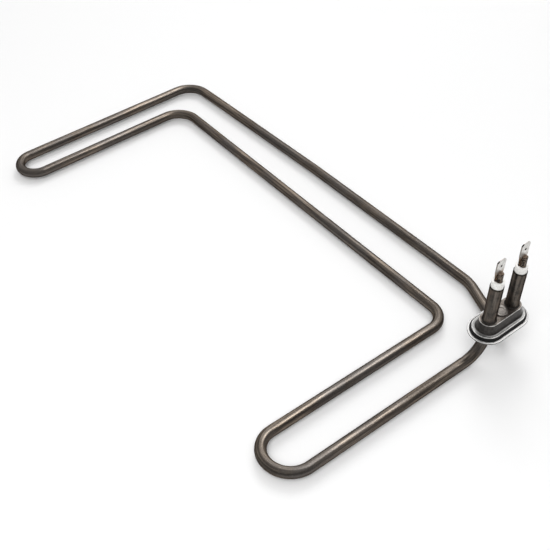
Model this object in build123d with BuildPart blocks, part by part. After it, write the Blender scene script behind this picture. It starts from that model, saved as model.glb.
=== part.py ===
"""Flanged tubular heating element.

One long sheathed heater tube is bent into a flat bracket: two long runs side by side,
with a narrow hairpin arm at one end and a wide hairpin arm at the other. Both ends of
the tube turn up through a small clamped flange and carry a ceramic bush, a pin and a
flat push-on tab.

Millimetres. The origin is the centre of the flange's seat, the underside of its backing
plate. +Z runs up along the legs to the tabs, +X along the long runs towards the flange,
and +Y from the arms towards the long runs.
"""

from build123d import *
import os
from math import cos, radians, sin, tan

os.makedirs("parts", exist_ok=True)

# Heater tube: rolled down solid along the bent, heated length, full size at its two ends
tube_d = 6.5
end_d = 7.6
end_wall = 0.35
end_taper = 1.6
end_bore_foot = 0.5
coil_d = 3.2

# Bent shape, measured between centre lines
leg_spacing = 18.4
leg_drop = 17.3
leg_bend_r = 13.7
inner_run_setback = 6.2
inner_run_length = 278.2
run_gap_at_flange = 31.5
run_gap_at_corner = 25.3
run_bow = 3.5
jog_length = 41.0
jog_bend_r = 27.0
arm_1_gap = 23.4
arm_1_length = 130.2
arm_1_toe_in = 1.2
arm_2_gap = 29.1
arm_2_length = 142.4
arm_2_toe_in = 0.9
arm_2_turn_r = 13.1
far_corner_r = 16.0
near_corner_r = 12.3

# Flange stack, from the seat upwards
plate_thickness = 0.7
plate_overhang = 1.2
gasket_thickness = 1.5
gasket_overhang = 0.9
cover_sheet = 0.8
rim_width = 17.2
plateau_width = 13.3
plateau_height = 6.2
plateau_draft = 10.5
plateau_edge = 0.4
leg_clearance = 0.05

# Centre rivet
rivet_head_d = 8.2
rivet_head_height = 0.9
rivet_shank_d = 4.0
rivet_foot_d = 5.2
rivet_dish_d = 4.6
rivet_dish_depth = 0.35
rivet_edge = 0.3

# Braze fillet where each leg leaves the cover
braze_width = 0.5
braze_height = 0.9

# Leg ends
leg_above_cover = 25.7
bush_above_leg = 4.0
bush_depth = 5.0
bush_clearance = 0.05
bush_edge = 0.35
seal_thickness = 2.0
pin_d = 3.3
pin_offset = 0.5
pin_above_bush = 5.6
pin_foot = 2.0
pin_flat = 0.8
pin_edge = 0.25
far_terminal_lift = 1.0

# Push-on tabs
tab_width = 6.3
tab_thickness = 0.8
tab_root_width = 4.2
tab_shoulder = 6.0
tab_height = 13.5
tab_lift = 0.6
tab_tip_run = 1.4
tab_tip_rise = 0.9
tab_hole_d = 1.7
tab_hole_from_tip = 4.1
tab_bevel = 0.2

# Levels above the seat
gasket_z = plate_thickness
rim_z = gasket_z + gasket_thickness
rim_top_z = rim_z + cover_sheet
plateau_z = rim_top_z + plateau_height
leg_top_z = plateau_z + leg_above_cover
bush_top_z = leg_top_z + bush_above_leg
bush_foot_z = leg_top_z - bush_depth
seal_foot_z = bush_foot_z - seal_thickness
loop_z = -leg_drop

tube_r = tube_d / 2
end_r = end_d / 2
end_bore_r = end_r - end_wall
leg_hole_r = end_r + leg_clearance

legs = {"near": -leg_spacing / 2, "far": leg_spacing / 2}
legs_xy = [(0, leg_y) for leg_y in legs.values()]
terminal_z = {"near": bush_top_z, "far": bush_top_z + far_terminal_lift}


def bend(before, corner, after, radius):
    """Start, middle and end of the arc that rounds one corner of the centre line."""
    back = (before - corner).normalized()
    onward = (after - corner).normalized()
    half_angle = radians(back.get_angle(onward)) / 2
    inward = (back + onward).normalized()
    setback = radius / tan(half_angle)
    middle = corner + inward * (radius / sin(half_angle) - radius)
    return corner + back * setback, middle, corner + onward * setback


def tube_corners():
    """Corners of the tube's centre line with their bend radii, from leg to leg."""
    inner_y = -inner_run_setback
    jog = Vector(-jog_length, inner_y + run_gap_at_flange, loop_z)
    far_foot = Vector(0, legs["far"], loop_z)
    near_foot = Vector(0, legs["near"], loop_z)

    toe = radians(arm_2_toe_in)
    arm_2 = Vector(-sin(toe), -cos(toe), 0)
    across_2 = Vector(-cos(toe), sin(toe), 0)
    beside = near_foot + across_2 * arm_2_gap
    near_corner = beside + arm_2 * ((beside.Y - inner_y) / cos(toe))
    turn_2 = near_corner + arm_2 * arm_2_length

    toe = radians(arm_1_toe_in)
    arm_1 = Vector(sin(toe), -cos(toe), 0)
    across_1 = Vector(-cos(toe), -sin(toe), 0)
    inner_corner = near_corner - Vector(inner_run_length, 0, 0)
    turn_1 = inner_corner + arm_1 * arm_1_length
    beside = turn_1 + across_1 * arm_1_gap
    outer_corner = beside - arm_1 * ((inner_y + run_gap_at_corner - beside.Y) / cos(toe))

    half_run = (jog - outer_corner).length / 2
    bow_reach = half_run - 2 * far_corner_r
    bow = (jog + outer_corner) * 0.5 + Vector(0, run_bow, 0)

    return [
        (far_foot, leg_bend_r),
        (jog, jog_bend_r),
        (bow, bow_reach * half_run / run_bow),
        (outer_corner, far_corner_r),
        (beside, arm_1_gap / 2),
        (turn_1, arm_1_gap / 2),
        (inner_corner, far_corner_r),
        (near_corner, near_corner_r),
        (turn_2, arm_2_turn_r),
        (turn_2 - across_2 * arm_2_gap, arm_2_gap - arm_2_turn_r),
        (near_foot, leg_bend_r),
    ]


def centre_line(end_z):
    """Draw the tube's centre line from the far leg round to the near leg, both cut at end_z."""
    corners = tube_corners()
    first = Vector(0, legs["far"], end_z)
    last = Vector(0, legs["near"], end_z)
    points = [first] + [corner for corner, radius in corners] + [last]
    here = first
    for index, (corner, radius) in enumerate(corners, start=1):
        start, middle, end = bend(points[index - 1], corner, points[index + 1], radius)
        if (start - here).length > 0.001:
            Line(here, start)
        ThreePointArc(start, middle, end)
        here = end
    Line(here, last)


def stadium(width):
    """Flange outline: straight between the leg centres and round about each of them."""
    SlotCenterToCenter(leg_spacing, width, rotation=90)


# Resistance coil, as the plain six-sided bar that its turns fill, from pin round to pin
with BuildPart() as heating_coil:
    with BuildLine() as coil_line:
        centre_line(pin_foot)
    with BuildSketch(Plane(coil_line.line @ 0, z_dir=coil_line.line % 0)):
        RegularPolygon(coil_d / 2, 6)
    sweep()
heating_coil.part.label = "heating_coil"
export_step(heating_coil.part, "parts/heating_coil.step")

# Sheath: the bent tube, rolled solid on its powder and coil, with a wider hollow end
# on each leg
with BuildPart() as sheath_tube:
    with BuildLine() as sheath_line:
        centre_line(-end_taper)
    with BuildSketch(Plane(sheath_line.line @ 0, z_dir=sheath_line.line % 0)):
        Circle(tube_r)
    sweep()
    for leg_y in legs.values():
        with BuildSketch(Plane.XZ.offset(-leg_y)):
            with BuildLine():
                Polyline(
                    (0, -end_taper),
                    (tube_r, -end_taper),
                    (end_r, 0),
                    (end_r, leg_top_z),
                    (end_bore_r, leg_top_z),
                    (end_bore_r, end_bore_foot),
                    (0, end_bore_foot),
                    close=True,
                )
            make_face()
        revolve(axis=Axis((0, leg_y, 0), (0, 0, 1)))
    add(heating_coil.part, mode=Mode.SUBTRACT)
sheath_tube.part.label = "sheath_tube"
export_step(sheath_tube.part, "parts/sheath_tube.step")

# Terminal pins, a little in front of the legs' axes, each with a flat on its back for the tab
tab_x = pin_offset - pin_d / 2 + pin_flat
pins = {}
for name, leg_y in legs.items():
    with BuildPart() as pins[name]:
        with BuildSketch(Plane.XY.offset(pin_foot)):
            with Locations((pin_offset, leg_y)):
                Circle(pin_d / 2)
        extrude(amount=terminal_z[name] + pin_above_bush - pin_foot)
        chamfer(pins[name].faces().sort_by(Axis.Z)[-1].edges(), pin_edge)
        with BuildSketch(Plane.XY.offset(terminal_z[name] + tab_lift)):
            with Locations((tab_x, leg_y)):
                Rectangle(pin_d, pin_d, align=(Align.MAX, Align.CENTER))
        extrude(amount=pin_above_bush, mode=Mode.SUBTRACT)
    pins[name].part.label = "terminal_pin_" + name
    export_step(pins[name].part, "parts/terminal_pin_" + name + ".step")

# Packed magnesia in the hollow end of each leg, round the pin and the start of the coil
for name, leg_y in legs.items():
    with BuildPart() as magnesia_plug:
        with BuildSketch(Plane.XY.offset(end_bore_foot)):
            with Locations((0, leg_y)):
                Circle(end_bore_r)
        extrude(amount=seal_foot_z - end_bore_foot)
        add(pins[name].part, mode=Mode.SUBTRACT)
        add(heating_coil.part, mode=Mode.SUBTRACT)
    magnesia_plug.part.label = "magnesia_plug_" + name
    export_step(magnesia_plug.part, "parts/magnesia_plug_" + name + ".step")

# Resin seal and ceramic bush in the mouth of each leg
for name, leg_y in legs.items():
    with BuildPart() as end_seal:
        with BuildSketch(Plane.XY.offset(seal_foot_z)):
            with Locations((0, leg_y)):
                Circle(end_bore_r)
            with Locations((pin_offset, leg_y)):
                Circle(pin_d / 2, mode=Mode.SUBTRACT)
        extrude(amount=seal_thickness)
    end_seal.part.label = "end_seal_" + name
    export_step(end_seal.part, "parts/end_seal_" + name + ".step")

    with BuildPart() as ceramic_bush:
        with BuildSketch(Plane.XY.offset(bush_foot_z)):
            with Locations((0, leg_y)):
                Circle(end_bore_r - bush_clearance)
        extrude(amount=bush_top_z - bush_foot_z)
        chamfer(ceramic_bush.faces().sort_by(Axis.Z)[-1].edges(), bush_edge)
        with BuildSketch(Plane.XY.offset(bush_foot_z)):
            with Locations((pin_offset, leg_y)):
                Circle(pin_d / 2 + bush_clearance)
        extrude(amount=bush_top_z - bush_foot_z, mode=Mode.SUBTRACT)
    ceramic_bush.part.label = "ceramic_bush_" + name
    export_step(ceramic_bush.part, "parts/ceramic_bush_" + name + ".step")

# Flat push-on tabs, welded to the flats of the pins
for name, leg_y in legs.items():
    tab_foot_z = terminal_z[name] + tab_lift
    tab_tip_z = tab_foot_z + tab_height
    with BuildPart() as tab:
        with BuildSketch(Plane.YZ.offset(tab_x - tab_thickness)) as tab_face:
            with BuildLine():
                Polyline(
                    (leg_y - tab_root_width / 2, tab_foot_z),
                    (leg_y - tab_width / 2, tab_foot_z + tab_shoulder),
                    (leg_y - tab_width / 2, tab_tip_z - tab_tip_rise),
                    (leg_y - tab_width / 2 + tab_tip_run, tab_tip_z),
                    (leg_y + tab_width / 2 - tab_tip_run, tab_tip_z),
                    (leg_y + tab_width / 2, tab_tip_z - tab_tip_rise),
                    (leg_y + tab_width / 2, tab_foot_z + tab_shoulder),
                    (leg_y + tab_root_width / 2, tab_foot_z),
                    close=True,
                )
            make_face()
        extrude(amount=tab_thickness)
        chamfer(tab.edges().filter_by(Axis.Y).group_by(Axis.Z)[-1], tab_bevel)
        with BuildSketch(Plane.YZ.offset(tab_x - tab_thickness)):
            with Locations((leg_y, tab_tip_z - tab_hole_from_tip)):
                Circle(tab_hole_d / 2)
        extrude(amount=tab_thickness, mode=Mode.SUBTRACT)
    tab.part.label = "tab_terminal_" + name
    export_step(tab.part, "parts/tab_terminal_" + name + ".step")

# Pressed cover: a flat rim round a hollow raised plateau
cavity_width = plateau_width - 2 * cover_sheet
with BuildPart() as flange_cover:
    with BuildSketch(Plane.XY.offset(rim_z)):
        stadium(rim_width)
    extrude(amount=cover_sheet)
    with BuildSketch(Plane.XY.offset(rim_top_z)):
        stadium(plateau_width)
    extrude(amount=plateau_height, taper=plateau_draft)
    chamfer(flange_cover.faces().sort_by(Axis.Z)[-1].edges(), plateau_edge)
    with BuildSketch(Plane.XY.offset(rim_z)):
        stadium(cavity_width)
    extrude(amount=plateau_height, taper=plateau_draft, mode=Mode.SUBTRACT)
    with BuildSketch(Plane.XY.offset(plateau_z)):
        with Locations(*legs_xy):
            Circle(leg_hole_r)
        Circle(rivet_shank_d / 2)
    extrude(amount=-2 * cover_sheet, mode=Mode.SUBTRACT)
flange_cover.part.label = "flange_cover"
export_step(flange_cover.part, "parts/flange_cover.step")

# Rubber gasket: a flat lip under the rim and a plug that fills the plateau
with BuildPart() as rubber_gasket:
    with BuildSketch(Plane.XY.offset(gasket_z)):
        stadium(rim_width + 2 * gasket_overhang)
    extrude(amount=gasket_thickness)
    with BuildSketch(Plane.XY.offset(rim_z)):
        stadium(cavity_width)
    extrude(amount=plateau_height, taper=plateau_draft)
    with BuildSketch(Plane.XY.offset(gasket_z)):
        with Locations(*legs_xy):
            Circle(end_r)
        Circle(rivet_shank_d / 2)
    extrude(amount=plateau_z - gasket_z, mode=Mode.SUBTRACT)
rubber_gasket.part.label = "rubber_gasket"
export_step(rubber_gasket.part, "parts/rubber_gasket.step")

# Backing plate, countersunk from below for the foot of the rivet
with BuildPart() as backing_plate:
    with BuildSketch():
        stadium(rim_width + 2 * gasket_overhang + 2 * plate_overhang)
        with Locations(*legs_xy):
            Circle(leg_hole_r, mode=Mode.SUBTRACT)
    extrude(amount=plate_thickness)
    with BuildSketch(Plane.XZ):
        with BuildLine():
            Polyline(
                (0, 0),
                (rivet_foot_d / 2, 0),
                (rivet_shank_d / 2, plate_thickness),
                (0, plate_thickness),
                close=True,
            )
        make_face()
    revolve(axis=Axis.Z, mode=Mode.SUBTRACT)
backing_plate.part.label = "backing_plate"
export_step(backing_plate.part, "parts/backing_plate.step")

# Centre rivet: low dished head on the plateau, foot spread flush with the seat
rivet_top_z = plateau_z + rivet_head_height
with BuildPart() as centre_rivet:
    with BuildSketch(Plane.XZ):
        with BuildLine():
            Polyline(
                (0, 0),
                (rivet_foot_d / 2, 0),
                (rivet_shank_d / 2, plate_thickness),
                (rivet_shank_d / 2, plateau_z),
                (rivet_head_d / 2, plateau_z),
                (rivet_head_d / 2, rivet_top_z - rivet_edge),
                (rivet_head_d / 2 - rivet_edge, rivet_top_z),
                (rivet_dish_d / 2, rivet_top_z),
                (rivet_dish_d / 2 - rivet_dish_depth, rivet_top_z - rivet_dish_depth),
                (0, rivet_top_z - rivet_dish_depth),
                close=True,
            )
        make_face()
    revolve(axis=Axis.Z)
centre_rivet.part.label = "centre_rivet"
export_step(centre_rivet.part, "parts/centre_rivet.step")

# Braze fillets round the legs, on top of the cover
for name, leg_y in legs.items():
    with BuildPart() as braze_ring:
        with BuildSketch(Plane.XZ.offset(-leg_y)):
            with BuildLine():
                Polyline(
                    (end_r, plateau_z),
                    (leg_hole_r + braze_width, plateau_z),
                    (end_r, plateau_z + braze_height),
                    close=True,
                )
            make_face()
        revolve(axis=Axis((0, leg_y, 0), (0, 0, 1)))
    braze_ring.part.label = "braze_ring_" + name
    export_step(braze_ring.part, "parts/braze_ring_" + name + ".step")
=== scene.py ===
"""Looks of the flanged tubular heating element: finish, light, floor and camera."""

from math import atan, cos, pi, radians, sin, tan

import bmesh
import bpy
from mathutils import Euler, Matrix, Vector, noise


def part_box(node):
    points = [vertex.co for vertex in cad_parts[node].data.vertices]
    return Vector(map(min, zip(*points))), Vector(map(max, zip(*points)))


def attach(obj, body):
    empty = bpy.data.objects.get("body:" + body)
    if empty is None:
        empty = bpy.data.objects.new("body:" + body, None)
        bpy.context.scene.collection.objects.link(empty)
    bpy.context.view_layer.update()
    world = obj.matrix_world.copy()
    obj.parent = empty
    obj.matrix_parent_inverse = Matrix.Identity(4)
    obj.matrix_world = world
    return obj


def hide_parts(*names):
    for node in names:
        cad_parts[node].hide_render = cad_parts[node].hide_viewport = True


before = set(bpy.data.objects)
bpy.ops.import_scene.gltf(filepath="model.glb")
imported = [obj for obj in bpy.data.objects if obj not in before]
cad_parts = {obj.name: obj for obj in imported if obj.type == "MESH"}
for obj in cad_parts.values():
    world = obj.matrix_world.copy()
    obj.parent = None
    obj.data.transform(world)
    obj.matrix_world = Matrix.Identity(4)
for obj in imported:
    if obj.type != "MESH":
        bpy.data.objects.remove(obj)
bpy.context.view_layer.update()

MM = 0.001


def box_mm(node):
    """Lowest and highest corners of a solid's box, in millimetres."""
    return [[value / MM for value in corner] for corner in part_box(node)]


# Tube, in millimetres as in the solids
TUBE_R = 3.25
END_R = 3.8
END_BORE_R = 3.45
END_TAPER = 1.6
LEG_SPACING = 18.4
LEG_DROP = 17.3
LEG_BEND_R = 13.7
INNER_RUN_SETBACK = 6.2
INNER_RUN_LENGTH = 278.2
RUN_GAP_AT_FLANGE = 31.5
RUN_GAP_AT_CORNER = 25.3
RUN_BOW = 3.5
JOG_LENGTH = 41.0
JOG_BEND_R = 27.0
ARM_1_GAP = 23.4
ARM_1_LENGTH = 130.2
ARM_1_TOE_IN = radians(1.2)
ARM_2_GAP = 29.1
ARM_2_LENGTH = 142.4
ARM_2_TOE_IN = radians(0.9)
ARM_2_TURN_R = 13.1
FAR_CORNER_R = 16.0
NEAR_CORNER_R = 12.3
NEAR_Y = -LEG_SPACING / 2
FAR_Y = LEG_SPACING / 2
LOOP_Z = -LEG_DROP

# Radii and levels of the other pieces, in millimetres, from the solids' boxes
PLATE_R, _, PLATE_TOP_Z = box_mm("backing_plate")[1]
GASKET_R = box_mm("rubber_gasket")[1][0]
COVER_LOW, COVER_HIGH = box_mm("flange_cover")
RIM_R, RIM_LOW_Z, PLATEAU_Z = COVER_HIGH[0], COVER_LOW[2], COVER_HIGH[2]
RIVET_R, _, RIVET_TOP_Z = box_mm("centre_rivet")[1]
SHEATH_LOW, SHEATH_HIGH = box_mm("sheath_tube")
LEG_TOP_Z = SHEATH_HIGH[2]
BUSH_R, _, BUSH_TOP_Z = box_mm("ceramic_bush_near")[1]
PIN_LOW, PIN_HIGH = box_mm("terminal_pin_near")
PIN_X = (PIN_LOW[0] + PIN_HIGH[0]) / 2
PIN_R = (PIN_HIGH[1] - PIN_LOW[1]) / 2

# Mouths of the legs
LEG_LEVELS = (0, 3, 6, 9, 12, 16, 20, 24, 28, 32)
MOUTH_LIP = 0.12
MOUTH_DEPTH = 4.0

# Flange stack; a flat face starts inside each radius named CAP
STACK_CAP_R = 6.0
PLATE_EDGE = 0.2
GASKET_BULGE = 0.45
GASKET_STEPS = 10
COVER_SHEET = 0.8
COVER_LOW_CAP_R = 6.2
COVER_TOP_CAP_R = 3.0
RIM_TOP_Z = RIM_LOW_Z + COVER_SHEET
RIM_EDGE = 0.3
RIM_FLAT_INSET = 0.7
WALL_FOOT_R = 6.65
WALL_TOP_R = 5.5
FOOT_FILLET = 0.7
CREST_EDGE = 0.4
BELOW_CREST = (0.05, -0.25)
FLAT_MARGIN = 0.35

# Rivet head: rounded edge, then (radius, depth) down into its shallow dish
RIVET_EDGE = 0.4
RIVET_DISH = ((2.5, 0), (2.25, 0.08), (2.0, 0.28), (1.7, 0.35), (0.05, 0.35))

# Concave foot of a braze ring: (reach beyond the leg, height on the plateau)
BRAZE_FOOT = ((0, 0.85), (0.1, 0.5), (0.22, 0.24), (0.4, 0.08), (0.54, 0))
BRAZE_WOBBLE = 0.02

# Bush: rounded top edge, then (reach beyond the pin's hole, depth) down the hole
BUSH_EDGE = 0.35
BUSH_DEPTH = 3.0
PIN_PLAY = 0.05
BUSH_HOLE = ((0.3, 0.02), (0.12, 0.1), (0, 0.3), (0, BUSH_DEPTH))

# Weld bead beside a pin: (radius, height over the bush)
BEAD = (
    (0.1, -0.05), (0.62, 0.1), (0.78, 0.8), (0.62, 1.7), (0.8, 2.6),
    (0.66, 3.5), (0.74, 4.3), (0.45, 5.0), (0.1, 5.2),
)
BEAD_X = PIN_X - 1.15
BEAD_OFFSET = 1.7
BEAD_WOBBLE = 0.25
WOBBLE_WAVES = 3

# Fineness of the meshes
RING_POINTS = 40
LATHE_POINTS = 48
BEAD_POINTS = 20
STADIUM_POINTS = 32
BEND_STEP = radians(3)
RUN_STEP = 12.0
SHORTEST_RUN = 0.01

# Angles that a profile's rounded edges turn between
DOWN, OUT, UP, IN = -pi / 2, 0, pi / 2, pi

# Finishes: linear colours, and stops that pair a noise value with a colour
OXIDE_STOPS = (
    (0.38, (0.045, 0.038, 0.032)),
    (0.5, (0.095, 0.08, 0.067)),
    (0.64, (0.24, 0.197, 0.158)),
)
OXIDE_COOL = (0.1, 0.094, 0.09)
OXIDE_HAIRLINE = (0.05, 0.042, 0.035)
OXIDE_SPECK = (0.26, 0.225, 0.195)
SOOT_STOPS = (
    (0.35, (0.036, 0.033, 0.03)),
    (0.5, (0.08, 0.072, 0.064)),
    (0.66, (0.185, 0.162, 0.14)),
)
SOOT_HAIRLINE = (0.034, 0.031, 0.029)
SOOT_BROWN = (0.15, 0.122, 0.1)
SOOT_BLACK = (0.03, 0.028, 0.027)
# Painted shadow: a dark band at the top of each leg, under its bush.
MOUTH_PAINTED_SHADOW = (0.012, 0.01, 0.008)
SHEATH_EDGE_TINT = (0.25, 0.22, 0.2, 1)
RIM_STOPS = ((0.35, (0.12, 0.119, 0.117)), (0.65, (0.21, 0.207, 0.203)))
PLATEAU_STOPS = ((0.35, (0.05, 0.043, 0.037)), (0.65, (0.12, 0.104, 0.092)))
# The cover's leaning wall, darkened as painted shade.
WALL_SHADE_STOPS = ((0.35, (0.028, 0.026, 0.025)), (0.65, (0.062, 0.057, 0.053)))
# Painted highlight laid on the cover's rim edge and plateau crest.
PAINTED_HIGHLIGHT_STEEL = (0.72, 0.71, 0.69)
PLATE_STOPS = ((0.3, (0.3, 0.296, 0.292)), (0.7, (0.44, 0.435, 0.43)))
# Painted shade on the plate's upright rim faces.
PLATE_EDGE_SHADE = (0.1, 0.098, 0.095)
RUBBER_STOPS = ((0.3, (0.003, 0.003, 0.003)), (0.75, (0.009, 0.009, 0.009)))
CERAMIC_STOPS = ((0.3, (0.78, 0.765, 0.73)), (0.7, (0.9, 0.89, 0.865)))
CERAMIC_PORE = (0.6, 0.59, 0.57)
CERAMIC_SPECK = (0.45, 0.42, 0.38)
PIN_SIDE_STOPS = (
    (0.43, (0.01, 0.007, 0.005)),
    (0.5, (0.035, 0.026, 0.019)),
    (0.57, (0.19, 0.15, 0.117)),
)
PIN_END_STOPS = ((0.35, (0.06, 0.04, 0.028)), (0.65, (0.17, 0.12, 0.088)))
TAB_STOPS = ((0.35, (0.55, 0.535, 0.51)), (0.65, (0.77, 0.755, 0.73)))
# Painted shade on the tab's edge faces.
TAB_EDGE_SHADE = (0.3, 0.28, 0.26)
TAB_STRAW = (0.28, 0.185, 0.105)
TAB_SCORCH = (0.055, 0.026, 0.013)
# Painted shade on tab faces turned one way.
TAB_PAINTED_SHADE = (0.03, 0.026, 0.022)
RIVET_STOPS = ((0.3, (0.08, 0.072, 0.064)), (0.7, (0.2, 0.185, 0.17)))
BRAZE_STOPS = ((0.3, (0.008, 0.007, 0.006)), (0.75, (0.035, 0.03, 0.025)))
WELD_STOPS = (
    (0.35, (0.015, 0.009, 0.006)),
    (0.5, (0.06, 0.033, 0.018)),
    (0.65, (0.22, 0.11, 0.045)),
)
POWDER_STOPS = ((0.3, (0.8, 0.79, 0.75)), (0.7, (0.88, 0.87, 0.84)))
RESIN_STOPS = ((0.3, (0.66, 0.62, 0.54)), (0.7, (0.75, 0.72, 0.65)))
COIL_STOPS = ((0.3, (0.3, 0.28, 0.26)), (0.7, (0.4, 0.38, 0.35)))

# Stretch of a noise's values that its roughness range is spread over
NOISE_REACH = (0.2, 0.8)

# Heights in millimetres that one finish gives way to another over
# Legs go sooty from here up; the darkening just under the flange is painted shade.
SOOT_AND_SHADE_RISE = (-4.0, 12.0)
# Band of the painted shadow under each bush.
MOUTH_SHADOW_RISE = (LEG_TOP_Z - 1.3, LEG_TOP_Z - 0.5)
RIM_RISE = (RIM_TOP_Z, RIM_TOP_Z + 0.5)
SCORCH_RISE = (BUSH_TOP_Z + 2.5, BUSH_TOP_Z + 5.5)
STRAW_RISE = (BUSH_TOP_Z + 4.5, BUSH_TOP_Z + 7.5)
TINT_SWAY = 3.0

# Direction of the tab faces that are darkened as painted shade
PAINTED_SHADE_FACE = (0, -0.707, 0.707)

# Camera at the photograph's angle, solved from the tube's width and its square corners
CAMERA_TARGET = Vector((-0.1196, -0.0632, -0.0162))
CAMERA_DISTANCE = 0.5223
CAMERA_AZIMUTH = radians(52.69)
CAMERA_ELEVATION = radians(44.85)
CAMERA_ROLL = radians(1.08)
CAMERA_CLIP = 0.01
PHOTO_SIZE = 550
FOCAL_PIXELS = 850
SENSOR = 36.0

# Floor: its gap under the tube in millimetres, then its height and radius in metres.
# The lift is the little light that it adds for camera, glossy and transmission rays.
FLOOR_GAP = 1.6
FLOOR_Z = (SHEATH_LOW[2] - FLOOR_GAP) * MM
FLOOR_R = 15.0
FLOOR_POINTS = 96
FLOOR_COLOUR = (0.82, 0.82, 0.82, 1)
FLOOR_ROUGHNESS = 0.9
FLOOR_SPECULAR = 0.1
FLOOR_LIFT = 0.04
WHITE = (1, 1, 1, 1)

# Sky: strength from dim to bright as a direction nears the centre of its bright side
SKY_CENTRE = Vector((-0.5, 0.3, 0.81)).normalized()
SKY_REACH = (0.1, 0.95)
SKY_STRENGTH = (0.33, 0.8)

# Lamps: name, direction, distance and size in metres, power, then whether they reach
# gloss and whether they reach matt
LAMP_AIM = Vector((-0.16, -0.06, FLOOR_Z))
LAMPS = (
    ("sheen", (0.05, 0.43, 0.9), 1.1, (0.85, 0.5), 8.0, True, False),
    ("glow", (-0.56, 0.62, 0.55), 1.2, (1.35, 1.35), 6.8, True, False),
    ("back", (-0.47, 0.5, 0.73), 1.2, (0.6, 0.6), 4.0, False, True),
    ("fill", (0.4, -0.4, 0.82), 1.3, (0.9, 0.9), 9.3, False, True),
)


# Centre line of the tube


def corner_list():
    """Corners of the centre line with bend radii, from the far leg to the near leg."""
    inner_y = -INNER_RUN_SETBACK
    jog = Vector((-JOG_LENGTH, inner_y + RUN_GAP_AT_FLANGE, LOOP_Z))
    far_foot = Vector((0, FAR_Y, LOOP_Z))
    near_foot = Vector((0, NEAR_Y, LOOP_Z))

    toe = ARM_2_TOE_IN
    arm_2 = Vector((-sin(toe), -cos(toe), 0))
    across_2 = Vector((-cos(toe), sin(toe), 0))
    beside = near_foot + across_2 * ARM_2_GAP
    near_corner = beside + arm_2 * ((beside.y - inner_y) / cos(toe))
    turn_2 = near_corner + arm_2 * ARM_2_LENGTH

    toe = ARM_1_TOE_IN
    arm_1 = Vector((sin(toe), -cos(toe), 0))
    across_1 = Vector((-cos(toe), -sin(toe), 0))
    inner_corner = near_corner - Vector((INNER_RUN_LENGTH, 0, 0))
    turn_1 = inner_corner + arm_1 * ARM_1_LENGTH
    outer_turn_1 = turn_1 + across_1 * ARM_1_GAP
    rise = inner_y + RUN_GAP_AT_CORNER - outer_turn_1.y
    outer_corner = outer_turn_1 - arm_1 * (rise / cos(toe))

    half_run = (jog - outer_corner).length / 2
    bow_reach = half_run - 2 * FAR_CORNER_R
    bow = (jog + outer_corner) / 2 + Vector((0, RUN_BOW, 0))
    return [
        (far_foot, LEG_BEND_R),
        (jog, JOG_BEND_R),
        (bow, bow_reach * half_run / RUN_BOW),
        (outer_corner, FAR_CORNER_R),
        (outer_turn_1, ARM_1_GAP / 2),
        (turn_1, ARM_1_GAP / 2),
        (inner_corner, FAR_CORNER_R),
        (near_corner, NEAR_CORNER_R),
        (turn_2, ARM_2_TURN_R),
        (turn_2 - across_2 * ARM_2_GAP, ARM_2_GAP - ARM_2_TURN_R),
        (near_foot, LEG_BEND_R),
    ]


def straight(start, end):
    """Points along a straight stretch, without its start."""
    count = max(1, round((end - start).length / RUN_STEP))
    return [start.lerp(end, i / count) for i in range(1, count + 1)]


def arc(start, corner, end, radius):
    """Points along the bend that rounds a corner, without its start."""
    back = (start - corner).normalized()
    onward = (end - corner).normalized()
    turn = pi - back.angle(onward)
    centre = corner + (back + onward).normalized() * (radius / cos(turn / 2))
    first = start - centre
    ahead = -back * radius
    count = max(2, round(turn / BEND_STEP))
    angles = [turn * i / count for i in range(1, count + 1)]
    return [centre + first * cos(a) + ahead * sin(a) for a in angles]


def centre_line(end_z):
    """The whole centre line as points, both legs cut at end_z."""
    corners = corner_list()
    here = Vector((0, FAR_Y, end_z))
    stops = [here] + [corner for corner, _ in corners] + [Vector((0, NEAR_Y, end_z))]
    points = [here]
    for i, (corner, radius) in enumerate(corners, start=1):
        back = (stops[i - 1] - corner).normalized()
        onward = (stops[i + 1] - corner).normalized()
        setback = radius / tan(back.angle(onward) / 2)
        start = corner + back * setback
        end = corner + onward * setback
        if (start - here).length > SHORTEST_RUN:
            points += straight(here, start)
        points += arc(start, corner, end, radius)
        here = end
    return points + straight(here, stops[-1])


# Meshes


def new_object(name, mesh):
    """Object for a mesh, linked to the scene."""
    piece = bpy.data.objects.new(name, mesh)
    bpy.context.scene.collection.objects.link(piece)
    return piece


def skin(name, rings, cap_first=False, cap_last=False):
    """Smooth skin over rings of points in millimetres, each ring closed on itself."""
    count = len(rings[0])
    verts = [tuple(p * MM for p in point) for ring in rings for point in ring]
    faces = []
    for i in range(len(rings) - 1):
        for j in range(count):
            k = (j + 1) % count
            a, b = i * count, (i + 1) * count
            faces.append((a + j, a + k, b + k, b + j))
    if cap_first:
        faces.append(tuple(reversed(range(count))))
    if cap_last:
        last = (len(rings) - 1) * count
        faces.append(tuple(last + j for j in range(count)))
    mesh = bpy.data.meshes.new(name)
    mesh.from_pydata(verts, [], faces)
    mesh.validate()
    body = bmesh.new()
    body.from_mesh(mesh)
    bmesh.ops.recalc_face_normals(body, faces=body.faces)
    body.to_mesh(mesh)
    body.free()
    mesh.shade_smooth()
    return new_object(name, mesh)


def lathe(name, profile, centre_y, points=LATHE_POINTS, wobble=0.0, **caps):
    """Round piece about a leg's axis from (radius, height) or (radius, height, x) stations."""
    rings = []
    for radius, height, *shift in profile:
        centre_x = shift[0] if shift else 0.0
        ring = []
        for j in range(points):
            a = 2 * pi * j / points
            spot = (WOBBLE_WAVES * cos(a), WOBBLE_WAVES * sin(a), centre_y + height)
            reach = radius * (1 + wobble * noise.noise(Vector(spot)))
            ring.append((centre_x + reach * cos(a), centre_y + reach * sin(a), height))
        rings.append(ring)
    return skin(name, rings, **caps)


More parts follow.
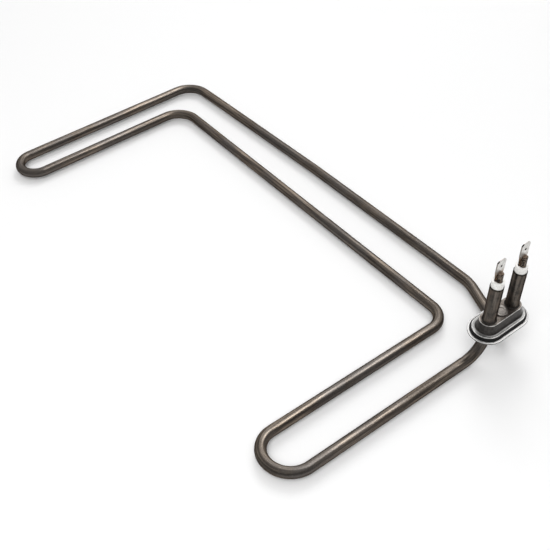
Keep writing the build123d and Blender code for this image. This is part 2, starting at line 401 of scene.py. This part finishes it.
def stadium_ring(radius, height):
    """Stadium outline round the two leg centres."""
    ring = []
    for centre, base in ((FAR_Y, 0.0), (NEAR_Y, pi)):
        for j in range(STADIUM_POINTS + 1):
            a = base + pi * j / STADIUM_POINTS
            ring.append((radius * cos(a), centre + radius * sin(a), height))
    return ring


def stadium_skin(name, profile):
    """Closed piece with round ends from (radius, height) stations."""
    rings = [stadium_ring(radius, height) for radius, height in profile]
    return skin(name, rings, cap_first=True, cap_last=True)


def rounded(radius, height, edge, sweep, steps):
    """Profile points of a rounded edge about its centre, from one angle to another."""
    low, high = sweep
    angles = [low + (high - low) * i / steps for i in range(steps + 1)]
    return [(radius + edge * cos(a), height + edge * sin(a)) for a in angles]


def store(piece, name, kind, field, values):
    """Store a named value for each point of a skin, for its material to read."""
    layer = piece.data.attributes.new(name, kind, "POINT")
    for item, value in zip(layer.data, values):
        setattr(item, field, value)


# Materials and other shader nodes


class Nodes:
    """Adds and links the shader nodes of a new material or world."""

    def __init__(self, owner, shader="Principled BSDF"):
        owner.use_nodes = True
        self.owner = owner
        self.tree = owner.node_tree
        self.shader = self.tree.nodes[shader]

    def add(self, kind, **settings):
        node = self.tree.nodes.new(kind)
        for key, value in settings.items():
            setattr(node, key, value)
        return node

    def link(self, source, target):
        self.tree.links.new(source, target)

    def coordinate(self, kind):
        return self.add("ShaderNodeTexCoord").outputs[kind]

    def place(self):
        return self.coordinate("Object")

    def stored(self, name, output):
        """A value that store() left on the mesh."""
        return self.add("ShaderNodeAttribute", attribute_name=name).outputs[output]

    def part_of(self, vector, axis):
        """One component of a vector."""
        node = self.add("ShaderNodeSeparateXYZ")
        self.link(vector, node.inputs["Vector"])
        return node.outputs[axis]

    def facing(self, axis):
        """1 on faces square to an axis, 0 on those along it."""
        return self.maths("ABSOLUTE", self.part_of(self.coordinate("Normal"), axis))

    def along(self, vector, direction):
        """How far a vector points in a fixed direction."""
        node = self.add("ShaderNodeVectorMath", operation="DOT_PRODUCT")
        self.link(vector, node.inputs[0])
        node.inputs[1].default_value = direction
        return node.outputs["Value"]

    def scaled(self, vector, scale):
        node = self.add("ShaderNodeMapping")
        node.inputs["Scale"].default_value = scale
        self.link(vector, node.inputs["Vector"])
        return node.outputs["Vector"]

    def noise(self, vector, scale=1.0, detail=4.0, grit=0.55):
        node = self.add("ShaderNodeTexNoise")
        node.inputs["Scale"].default_value = scale
        node.inputs["Detail"].default_value = detail
        node.inputs["Roughness"].default_value = grit
        self.link(vector, node.inputs["Vector"])
        return node.outputs["Fac"]

    def ramp(self, value, stops):
        """Colour by value, from stops of (value, colour)."""
        node = self.add("ShaderNodeValToRGB")
        ramp = node.color_ramp
        while len(ramp.elements) < len(stops):
            ramp.elements.new(0.5)
        for element, (place, colour) in zip(ramp.elements, stops):
            element.position = place
            element.color = (*colour, 1)
        self.link(value, node.inputs["Fac"])
        return node.outputs["Color"]

    def span(self, value, reach, onto=(0.0, 1.0)):
        """A value's reach mapped onto another, and held there beyond its ends."""
        node = self.add("ShaderNodeMapRange")
        names = ("From Min", "From Max", "To Min", "To Max")
        for name, number in zip(names, (*reach, *onto)):
            node.inputs[name].default_value = number
        self.link(value, node.inputs["Value"])
        return node.outputs["Result"]

    def mix(self, factor, first, second):
        """Mix of two colours, each a tuple or a socket."""
        node = self.add("ShaderNodeMix", data_type="RGBA")
        self.link(factor, node.inputs["Factor"])
        for name, value in (("A", first), ("B", second)):
            socket = next(s for s in node.inputs if s.name == name and s.type == "RGBA")
            if isinstance(value, tuple):
                socket.default_value = (*value, 1)
            else:
                self.link(value, socket)
        return next(s for s in node.outputs if s.type == "RGBA")

    def over(self, base, colour, value, reach, amount=1.0):
        """A colour laid over a base as a value goes through its reach, up to an amount."""
        return self.mix(self.span(value, reach, (0.0, amount)), base, colour)

    def maths(self, operation, *values, clamp=False):
        """Maths on values, each a number or a socket."""
        node = self.add("ShaderNodeMath", operation=operation, use_clamp=clamp)
        for socket, value in zip(node.inputs, values):
            if isinstance(value, (int, float)):
                socket.default_value = value
            else:
                self.link(value, socket)
        return node.outputs["Value"]

    def bump(self, value, depth, strength):
        """Bump of a depth in millimetres."""
        node = self.add("ShaderNodeBump")
        node.inputs["Distance"].default_value = depth * MM
        node.inputs["Strength"].default_value = strength
        self.link(value, node.inputs["Height"])
        self.link(node.outputs["Normal"], self.shader.inputs["Normal"])

    def constants(self, **values):
        """Set the shader's own sockets, named with _ for each space."""
        for name, value in values.items():
            self.shader.inputs[name.replace("_", " ")].default_value = value

    def finish(self, colour, rough, metallic=0.0, **values):
        self.link(colour, self.shader.inputs["Base Color"])
        self.link(rough, self.shader.inputs["Roughness"])
        self.constants(Metallic=metallic, **values)
        return self.owner


def new_material(name):
    """Nodes of a new material."""
    return Nodes(bpy.data.materials.new(name))


def metres(reach):
    """A reach in millimetres as one in metres."""
    return tuple(value * MM for value in reach)


def sheath_material():
    """Oxidised stainless: brown streaks drawn along the tube, sooty mottled legs with painted
    shade where they pass under the flange, and a painted shadow band under each bush.
    """
    n = new_material("sheath_steel")
    flow = n.stored("flow", "Vector")
    streaks = n.noise(n.scaled(flow, (0.85, 0.85, 0.028)), detail=5.0, grit=0.62)
    hairlines = n.noise(n.scaled(flow, (3.2, 3.2, 0.12)), grit=0.6)
    patches = n.noise(n.place(), scale=38.0, grit=0.6)
    grain = n.noise(n.place(), scale=1500.0, detail=3.0, grit=0.6)
    blotches = n.noise(n.place(), scale=260.0, detail=5.0, grit=0.65)
    level = n.part_of(n.place(), "Z")

    oxide = n.ramp(streaks, OXIDE_STOPS)
    oxide = n.over(oxide, OXIDE_COOL, patches, reach=(0.42, 0.6), amount=0.7)
    oxide = n.over(oxide, OXIDE_HAIRLINE, hairlines, reach=(0.4, 0.65), amount=0.5)
    oxide = n.over(oxide, OXIDE_SPECK, grain, reach=(0.52, 0.72), amount=0.35)

    soot = n.ramp(streaks, SOOT_STOPS)
    soot = n.over(soot, SOOT_HAIRLINE, hairlines, reach=(0.42, 0.6), amount=0.3)
    soot = n.over(soot, SOOT_BROWN, blotches, reach=(0.5, 0.64), amount=0.6)
    soot = n.over(soot, SOOT_BLACK, blotches, reach=(0.46, 0.36), amount=0.6)
    # Painted shadow band under the bush.
    soot = n.over(soot, MOUTH_PAINTED_SHADOW, level, reach=metres(MOUTH_SHADOW_RISE), amount=0.85)

    # Legs darken upward: soot, and painted shade under the flange.
    colour = n.over(oxide, soot, level, reach=metres(SOOT_AND_SHADE_RISE))
    rough = n.span(streaks, (0.3, 0.7), (0.38, 0.28))
    fine = n.maths("ADD", hairlines, n.maths("MULTIPLY", grain, 0.5))
    n.bump(fine, depth=0.05, strength=0.5)
    tint = {"Specular_Tint": SHEATH_EDGE_TINT, "Specular_IOR_Level": 0.3}
    return n.finish(colour, rough, metallic=0.9, **tint)


def flange_material():
    """Pressed stainless cover: satin rim, brown plateau, its wall darkened as painted shade, its
    rim edge and crest lightened as painted highlight.
    """
    n = new_material("flange_steel")
    place = n.place()
    brush = n.noise(n.scaled(place, (1500.0, 160.0, 600.0)), detail=3.0)
    cloud = n.noise(place, scale=240.0)
    blots = n.noise(place, scale=700.0, grit=0.6)
    wall, plateau = n.ramp(blots, WALL_SHADE_STOPS), n.ramp(blots, PLATEAU_STOPS)
    # Upright faces take the wall colour, which is painted shade.
    upper = n.over(wall, plateau, n.facing("Z"), reach=(0.5, 0.9))
    level = n.part_of(place, "Z")
    colour = n.over(n.ramp(cloud, RIM_STOPS), upper, level, reach=metres(RIM_RISE))
    patchy = n.span(blots, (0.35, 0.55), (0.45, 1.0))
    # Painted highlight: the stored amounts on the rim edge and crest, broken up by blots.
    painted_highlight = n.maths("MULTIPLY", n.stored("highlight_amount", "Fac"), patchy)
    colour = n.mix(painted_highlight, colour, PAINTED_HIGHLIGHT_STEEL)
    n.bump(brush, depth=0.04, strength=0.4)
    return n.finish(colour, n.span(cloud, NOISE_REACH, (0.3, 0.42)), metallic=0.9)


def plate_material():
    """Thin pale steel, its upright rim faces darkened as painted shade."""
    n = new_material("plate_steel")
    cloud = n.noise(n.place(), scale=300.0)
    face = n.ramp(cloud, PLATE_STOPS)
    # Upright faces take painted shade.
    colour = n.over(PLATE_EDGE_SHADE, face, n.facing("Z"), reach=(0.3, 0.8))
    n.bump(cloud, depth=0.04, strength=0.3)
    return n.finish(colour, n.span(cloud, NOISE_REACH, (0.35, 0.5)), metallic=0.7)


def ceramic_material():
    """Unglazed off-white ceramic with pores and faint specks."""
    n = new_material("bush_ceramic")
    cloud = n.noise(n.place(), scale=420.0)
    pores = n.noise(n.place(), scale=1500.0, detail=3.0)
    specks = n.noise(n.place(), scale=2600.0, detail=2.0)
    colour = n.ramp(cloud, CERAMIC_STOPS)
    colour = n.over(colour, CERAMIC_PORE, pores, reach=(0.5, 0.65), amount=0.6)
    colour = n.over(colour, CERAMIC_SPECK, specks, reach=(0.62, 0.75), amount=0.35)
    n.bump(specks, depth=0.04, strength=0.4)
    return n.finish(colour, n.span(cloud, NOISE_REACH, (0.5, 0.65)))


def pin_material():
    """Steel pin, scorched brown by the weld, its cut end redder."""
    n = new_material("pin_steel")
    cloud = n.noise(n.place(), scale=900.0)
    side, end = n.ramp(cloud, PIN_SIDE_STOPS), n.ramp(cloud, PIN_END_STOPS)
    colour = n.over(side, end, n.facing("Z"), reach=(0.6, 0.9))
    n.bump(cloud, depth=0.2, strength=0.6)
    rough = n.span(cloud, NOISE_REACH, (0.35, 0.6))
    return n.finish(colour, rough, metallic=0.6, Specular_IOR_Level=0.3)


def tab_material():
    """Nickel-plated tab: heat tint from the weld at its root, painted shade on its edge faces and
    on faces turned one way.
    """
    n = new_material("tab_nickel")
    place = n.place()
    cloud = n.noise(place, scale=700.0)
    brush = n.noise(n.scaled(place, (400.0, 3000.0, 260.0)), detail=3.0)
    sway = n.maths("MULTIPLY", n.maths("SUBTRACT", cloud, 0.5), TINT_SWAY * MM)
    level = n.maths("ADD", n.part_of(place, "Z"), sway)
    painted_shade = n.along(n.coordinate("Normal"), PAINTED_SHADE_FACE)
    # Edge faces take painted shade.
    colour = n.over(TAB_EDGE_SHADE, n.ramp(cloud, TAB_STOPS), n.facing("X"), reach=(0.35, 0.9))
    colour = n.over(TAB_STRAW, colour, level, reach=metres(STRAW_RISE))
    colour = n.over(TAB_SCORCH, colour, level, reach=metres(SCORCH_RISE))
    # Painted shade on faces turned one way, such as inside the hole.
    colour = n.over(colour, TAB_PAINTED_SHADE, painted_shade, reach=(0.75, 0.92))
    n.bump(brush, depth=0.03, strength=0.4)
    return n.finish(colour, n.span(brush, NOISE_REACH, (0.3, 0.42)), metallic=0.75)


def mottled_material(name, stops, scale, bump, rough, detail=4.0, grit=0.55, **values):
    """Finish from one noise: colour stops, bump (depth, strength) and roughness range."""
    n = new_material(name)
    cloud = n.noise(n.place(), scale, detail, grit)
    n.bump(cloud, *bump)
    return n.finish(n.ramp(cloud, stops), n.span(cloud, NOISE_REACH, rough), **values)


def rubber_material():
    """Dull black rubber with a fine grain."""
    return mottled_material(
        "gasket_rubber", RUBBER_STOPS, scale=1400.0, detail=3.0,
        bump=(0.03, 0.5), rough=(0.5, 0.7), Specular_IOR_Level=0.15)


def rivet_material():
    """Turned stainless, heat-stained."""
    return mottled_material(
        "rivet_steel", RIVET_STOPS, scale=500.0,
        bump=(0.05, 0.5), rough=(0.3, 0.45), metallic=0.8)


def braze_material():
    """Braze burnt nearly black."""
    return mottled_material(
        "braze", BRAZE_STOPS, scale=900.0,
        bump=(0.15, 0.6), rough=(0.4, 0.6), metallic=0.4)


def weld_material():
    """Scorched weld bead, rust orange in places."""
    return mottled_material(
        "weld_bead", WELD_STOPS, scale=1100.0, grit=0.6,
        bump=(0.3, 0.7), rough=(0.4, 0.6), metallic=0.5)


def sealed_material(name, stops, rough):
    """Finish of a sealed inner solid that nothing shows."""
    return mottled_material(
        name, stops, scale=500.0, detail=3.0, bump=(0.05, 0.3), rough=rough)


def dress(node, material):
    """Give a carried-over solid its material."""
    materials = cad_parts[node].data.materials
    materials.clear()
    materials.append(material)


def finish_piece(piece, material, slot, *nodes):
    """Give a new piece its material and body, and hide the solids that it stands for; slot is not
    used.
    """
    piece.data.materials.append(material)
    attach(piece, "root")
    if nodes:
        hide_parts(*nodes)


# Camera, light and floor


def make_camera():
    """Camera at the photograph's angle, with its field of view."""
    camera = bpy.data.cameras.new("camera")
    camera.sensor_width = SENSOR
    camera.lens = FOCAL_PIXELS / PHOTO_SIZE * SENSOR
    camera.clip_start = CAMERA_CLIP
    obj = new_object("camera", camera)
    aim = Euler((pi / 2 - CAMERA_ELEVATION, 0, CAMERA_AZIMUTH)).to_matrix()
    aim = aim @ Matrix.Rotation(-CAMERA_ROLL, 3, "Z")
    back = aim @ Vector((0, 0, 1))
    obj.matrix_world = Matrix.Translation(CAMERA_TARGET + back * CAMERA_DISTANCE) @ aim.to_4x4()
    bpy.context.scene.camera = obj


def make_world():
    """Studio room: bright overhead and behind the object, dim towards the front."""
    n = Nodes(bpy.data.worlds.new("studio"), "Background")
    bpy.context.scene.world = n.owner
    nearness = n.along(n.coordinate("Generated"), SKY_CENTRE)
    n.link(n.span(nearness, SKY_REACH, SKY_STRENGTH), n.shader.inputs["Strength"])
    n.constants(Color=WHITE)


def make_lamp(name, direction, distance, size, power, gloss, matt):
    """Oval soft lamp aimed at the middle; gloss and matt say which shading it reaches."""
    lamp = bpy.data.lights.new(name, "AREA")
    lamp.shape = "ELLIPSE"
    lamp.size, lamp.size_y = size
    lamp.energy = power
    obj = new_object(name, lamp)
    towards = Vector(direction).normalized()
    across = Vector((1, 0, 0))
    across = (across - towards * across.dot(towards)).normalized()
    turned = Matrix((across, towards.cross(across), towards)).transposed()
    obj.matrix_world = Matrix.Translation(LAMP_AIM + towards * distance) @ turned.to_4x4()
    obj.visible_glossy = gloss
    obj.visible_diffuse = matt


def floor_material():
    """Pale floor, lifted a little for the rays that show it as background."""
    n = new_material("floor")
    rays = n.add("ShaderNodeLightPath").outputs
    seen = n.maths("ADD", rays["Is Camera Ray"], rays["Is Transmission Ray"])
    seen = n.maths("ADD", seen, rays["Is Glossy Ray"], clamp=True)
    lift = n.maths("MULTIPLY", seen, FLOOR_LIFT)
    n.link(lift, n.shader.inputs["Emission Strength"])
    n.constants(Base_Color=FLOOR_COLOUR, Roughness=FLOOR_ROUGHNESS)
    n.constants(Specular_IOR_Level=FLOOR_SPECULAR, Emission_Color=WHITE)
    return n.owner


def make_floor():
    """Wide round floor that takes the object's shadow."""
    turns = [2 * pi * i / FLOOR_POINTS for i in range(FLOOR_POINTS)]
    rim = [(FLOOR_R * cos(a), FLOOR_R * sin(a), FLOOR_Z) for a in turns]
    mesh = bpy.data.meshes.new("floor")
    mesh.from_pydata(rim, [], [tuple(range(FLOOR_POINTS))])
    floor = new_object("floor", mesh)
    floor.data.materials.append(floor_material())


# Pieces


def leg_stations(y, along, across, run):
    """Tube stations up one leg from the taper to the mouth and down inside it."""
    lip_z = LEG_TOP_Z - MOUTH_LIP
    profile = [(END_R, z) for z in LEG_LEVELS]
    profile += rounded(END_R - MOUTH_LIP, lip_z, MOUTH_LIP, (OUT, UP), 3)
    profile += rounded(END_BORE_R + MOUTH_LIP, lip_z, MOUTH_LIP, (UP, IN), 3)
    profile += [(END_BORE_R, LEG_TOP_Z - MOUTH_DEPTH)]
    return [(Vector((0, y, z)), along, across, radius, run + along.z * z) for radius, z in profile]


def make_sheath():
    """The bent tube with its wider leg ends, open at both mouths."""
    points = centre_line(-END_TAPER)
    side = Vector((1, 0, 0))
    run = 0.0
    bent = []
    for i, point in enumerate(points):
        ahead = points[min(i + 1, len(points) - 1)]
        behind = points[max(i - 1, 0)]
        along = (ahead - behind).normalized()
        if i:
            run += (point - behind).length
            side = (side - along * side.dot(along)).normalized()
        bent.append((point, along, side, TUBE_R, run))

    far_leg = leg_stations(FAR_Y, Vector((0, 0, -1)), bent[0][2], 0.0)
    near_leg = leg_stations(NEAR_Y, Vector((0, 0, 1)), side, run)
    rings, flow = [], []
    for centre, along, across, radius, run in far_leg[::-1] + bent + near_leg:
        over = along.cross(across)
        ring = []
        for j in range(RING_POINTS):
            a = 2 * pi * j / RING_POINTS
            ring.append(tuple(centre + (across * cos(a) + over * sin(a)) * radius))
            flow.append((cos(a) * TUBE_R, sin(a) * TUBE_R, run))
        rings.append(ring)
    tube = skin("heater_tube", rings)
    store(tube, "flow", "FLOAT_VECTOR", "vector", flow)
    finish_piece(tube, sheath_material(), "sheath_steel", "sheath_tube")


def make_plate():
    """Thin plate under the stack, its rim rounded."""
    rim = PLATE_R - PLATE_EDGE
    profile = [(STACK_CAP_R, 0.0)]
    profile += rounded(rim, PLATE_EDGE, PLATE_EDGE, (DOWN, OUT), 3)
    profile += rounded(rim, PLATE_TOP_Z - PLATE_EDGE, PLATE_EDGE, (OUT, UP), 3)
    profile += [(STACK_CAP_R, PLATE_TOP_Z)]
    plate = stadium_skin("plate", profile)
    finish_piece(plate, plate_material(), "plate_steel", "backing_plate")


def make_gasket():
    """Rubber squeezed out between plate and cover."""
    rim = GASKET_R - GASKET_BULGE
    half = (RIM_LOW_Z - PLATE_TOP_Z) / 2
    middle = PLATE_TOP_Z + half
    turns = [DOWN + pi * i / GASKET_STEPS for i in range(GASKET_STEPS + 1)]
    profile = [(STACK_CAP_R, PLATE_TOP_Z)]
    profile += [(rim + GASKET_BULGE * cos(a), middle + half * sin(a)) for a in turns]
    profile += [(STACK_CAP_R, RIM_LOW_Z)]
    lip = stadium_skin("gasket_lip", profile)
    finish_piece(lip, rubber_material(), "gasket_rubber", "rubber_gasket")


def make_cover():
    """Pressed cover: rim, fillet, leaning wall and plateau, with the amount of painted highlight
    stored on its rim edge and crest.
    """
    lean = atan((WALL_FOOT_R - WALL_TOP_R) / (PLATEAU_Z - RIM_TOP_Z))
    tuck = 1 / cos(lean) - tan(lean)
    rim = RIM_R - RIM_EDGE
    foot_centre = WALL_FOOT_R + FOOT_FILLET * tuck
    crest_centre = WALL_TOP_R - CREST_EDGE * tuck
    low_edge = rounded(rim, RIM_LOW_Z + RIM_EDGE, RIM_EDGE, (DOWN, OUT), 4)
    top_edge = rounded(rim, RIM_TOP_Z - RIM_EDGE, RIM_EDGE, (OUT, UP), 4)
    rim_flat = [
        (RIM_R - RIM_FLAT_INSET, RIM_TOP_Z),
        (WALL_FOOT_R + FOOT_FILLET + FLAT_MARGIN, RIM_TOP_Z),
    ]
    foot = rounded(foot_centre, RIM_TOP_Z + FOOT_FILLET, FOOT_FILLET, (DOWN, lean - pi), 6)
    crest = rounded(crest_centre, PLATEAU_Z - CREST_EDGE, CREST_EDGE, (lean, UP), 6)
    wall_end = (crest[0][0] + BELOW_CREST[0], crest[0][1] + BELOW_CREST[1])
    plateau = [(crest_centre - FLAT_MARGIN, PLATEAU_Z), (COVER_TOP_CAP_R, PLATEAU_Z)]
    # Each stretch pairs its profile points with how much painted highlight they get.
    stretches = [
        ([(COVER_LOW_CAP_R, RIM_LOW_Z)], [0]),
        (low_edge, [0] * len(low_edge)),
        (top_edge, [0, 0.5, 1, 0.8, 0.2]),
        (rim_flat, [0, 0]),
        (foot, [0] * len(foot)),
        ([wall_end] + crest, [0, 0, 0.4, 0.8, 1, 0.8, 0.4, 0]),
        (plateau, [0, 0]),
    ]
    cover = stadium_skin("cover", [point for points, _ in stretches for point in points])
    highlight_amount = [amount for _, amounts in stretches for amount in amounts]
    per_ring = len(cover.data.vertices) // len(highlight_amount)
    store(cover, "highlight_amount", "FLOAT", "value", [w for w in highlight_amount for _ in range(per_ring)])
    finish_piece(cover, flange_material(), "flange_steel", "flange_cover")


def make_rivet():
    """Low round head on the plateau, dished in its middle."""
    profile = [(RIVET_R, PLATEAU_Z)]
    profile += rounded(RIVET_R - RIVET_EDGE, RIVET_TOP_Z - RIVET_EDGE, RIVET_EDGE, (OUT, UP), 5)
    profile += [(radius, RIVET_TOP_Z - depth) for radius, depth in RIVET_DISH]
    rivet = lathe("rivet_head", profile, 0.0, cap_last=True)
    finish_piece(rivet, rivet_material(), "rivet_steel", "centre_rivet")


def make_braze(end, y, material):
    """Dark concave fillet where a leg leaves the cover."""
    profile = [(END_R + reach, PLATEAU_Z + height) for reach, height in BRAZE_FOOT]
    fillet = lathe("braze_fillet_" + end, profile, y, wobble=BRAZE_WOBBLE)
    finish_piece(fillet, material, "braze", "braze_ring_" + end)


def make_bush(end, y, material):
    """Ceramic bush in a leg's mouth, with the hole that its pin leaves by."""
    hole = PIN_R + PIN_PLAY
    profile = [(BUSH_R, LEG_TOP_Z - BUSH_DEPTH)]
    profile += rounded(BUSH_R - BUSH_EDGE, BUSH_TOP_Z - BUSH_EDGE, BUSH_EDGE, (OUT, UP), 5)
    profile += [(hole + reach, BUSH_TOP_Z - depth, PIN_X) for reach, depth in BUSH_HOLE]
    bush = lathe("bush_" + end, profile, y)
    finish_piece(bush, material, "bush_ceramic", "ceramic_bush_" + end)


def make_bead(end, y, material):
    """Lumpy weld bead between a pin and its tab."""
    profile = [(radius, BUSH_TOP_Z + height, BEAD_X) for radius, height in BEAD]
    bead = lathe(
        "weld_bead_" + end, profile, y - BEAD_OFFSET, BEAD_POINTS, BEAD_WOBBLE,
        cap_first=True, cap_last=True)
    finish_piece(bead, material, "braze")


def make_leg_ends():
    """Everything on the two legs above the plateau."""
    ceramic, braze = ceramic_material(), braze_material()
    pin, tab, weld = pin_material(), tab_material(), weld_material()
    for end, y in (("near", NEAR_Y), ("far", FAR_Y)):
        make_braze(end, y, braze)
        make_bush(end, y, ceramic)
        make_bead(end, y, weld)
        dress("terminal_pin_" + end, pin)
        dress("tab_terminal_" + end, tab)


def dress_sealed():
    """Finishes of the solids sealed inside the tube."""
    powder = sealed_material("sealed_powder", POWDER_STOPS, (0.74, 0.86))
    resin = sealed_material("seal_resin", RESIN_STOPS, (0.44, 0.56))
    dress("heating_coil", sealed_material("coil_alloy", COIL_STOPS, (0.34, 0.46)))
    for end in ("near", "far"):
        dress("magnesia_plug_" + end, powder)
        dress("end_seal_" + end, resin)


make_camera()
make_world()
for lamp in LAMPS:
    make_lamp(*lamp)
make_floor()
make_sheath()
make_plate()
make_gasket()
make_cover()
make_rivet()
make_leg_ends()
dress_sealed()

bpy.context.scene.view_settings.view_transform = "Standard"
